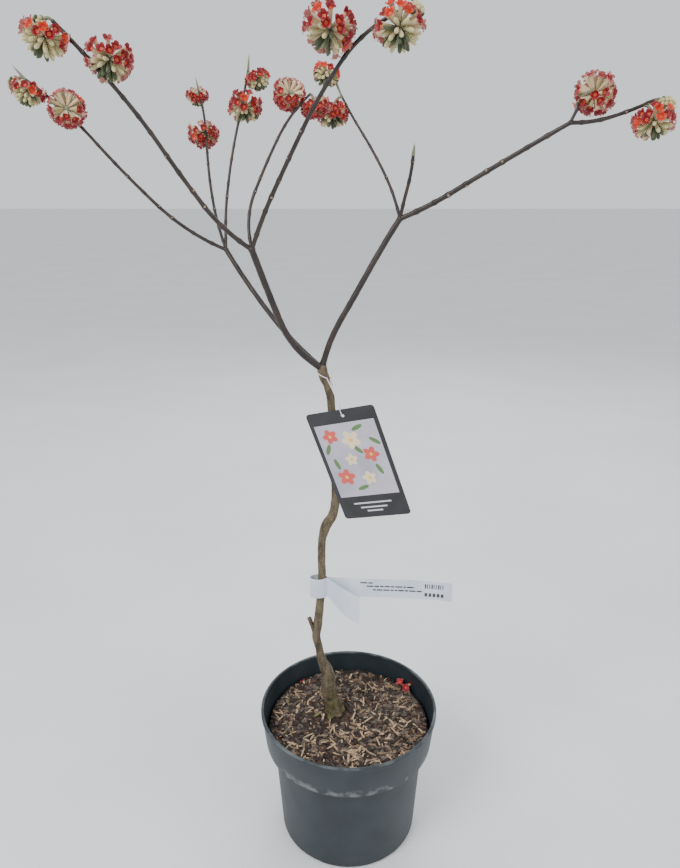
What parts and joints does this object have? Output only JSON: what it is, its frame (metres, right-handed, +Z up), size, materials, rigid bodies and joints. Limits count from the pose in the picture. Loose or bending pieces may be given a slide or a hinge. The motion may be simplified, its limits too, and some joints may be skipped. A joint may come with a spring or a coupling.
{
  "type": "potted paperbush",
  "caption": "Flowering shrub in a collared nursery pot: leaning kinked trunk, forked bare boughs, long shoots with nodding flower heads, a hang tag on a string and a loop label.",
  "frame": {"origin": "middle of the pot's flat underside", "axes": "+Z up along the pot's axis, -Y towards the side the picture shows, +X to the right of that side"},
  "size_m": [0.6684, 0.3765, 0.9701],
  "materials": {
    "pot_plastic": "matte moulded plastic, lightly scuffed",
    "mix_chips": "loose bark and wood chips",
    "old_bark": "rough olive-brown bark",
    "shoot_bark": "smooth dark bark",
    "blossom": "silky tubular florets on dark shoots",
    "tag_card": "coated printed card",
    "string_white": "thin white string",
    "label_film": "thin white plastic film"
  },
  "bodies": {
    "root": {"pot": "pot_plastic", "potting_mix": "mix_chips", "trunk": "old_bark", "bough_front_left": "shoot_bark", "bough_back_left": "shoot_bark", "bough_right": "shoot_bark", "shoot_left_high": "blossom", "shoot_front_middle": "blossom", "shoot_front_right": "blossom", "shoot_left_low": "blossom", "shoot_back_left": "blossom", "shoot_back_middle": "blossom", "shoot_right_long": "blossom", "shoot_right_bare": "blossom", "shoot_back_right": "blossom", "hang_tag": "tag_card", "tag_string": "string_white", "loop_label": "label_film"}
  },
  "joints": []
}
